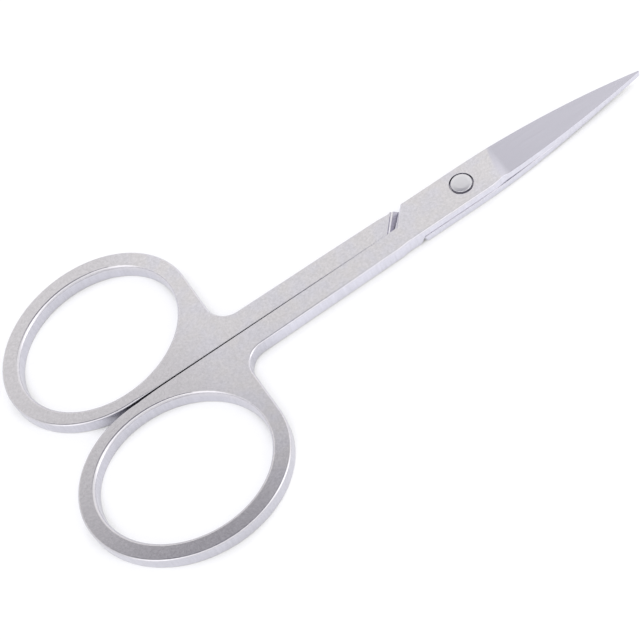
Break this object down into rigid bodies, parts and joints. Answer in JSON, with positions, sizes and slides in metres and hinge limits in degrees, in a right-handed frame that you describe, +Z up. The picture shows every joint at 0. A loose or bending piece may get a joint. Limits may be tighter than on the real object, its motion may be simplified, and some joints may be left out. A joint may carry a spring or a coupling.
{
  "type": "eyebrow scissors",
  "caption": "Small straight scissors stamped from satin steel plate, with oval finger rings, a half-lapped riveted pivot and short hollow-ground blades that taper to a fine point.",
  "frame": {"origin": "middle of the closed scissors' footprint, on the surface that they lie on", "axes": "+X along the blades to the tips, +Y towards the lower half's finger ring, +Z up through the plate's thickness"},
  "size_m": [0.0938, 0.0482, 0.0024],
  "materials": {
    "upper_half_steel": "fine satin stainless steel, tumbled edges, ground blade face",
    "lower_half_steel": "fine satin stainless steel, tumbled edges, ground blade face",
    "rivet_steel": "smooth turned stainless steel"
  },
  "bodies": {
    "lower_body": {"lower_half": "lower_half_steel", "pivot_rivet": "rivet_steel"},
    "upper_body": {"upper_half": "upper_half_steel"}
  },
  "joints": [
    {"name": "blades_hinge", "type": "hinge", "parent": "lower_body", "child": "upper_body", "pos_m": [0.01817, 0.00026, 0.00115], "axis": [0, 0, 1], "range_deg": [0, 135]}
  ]
}
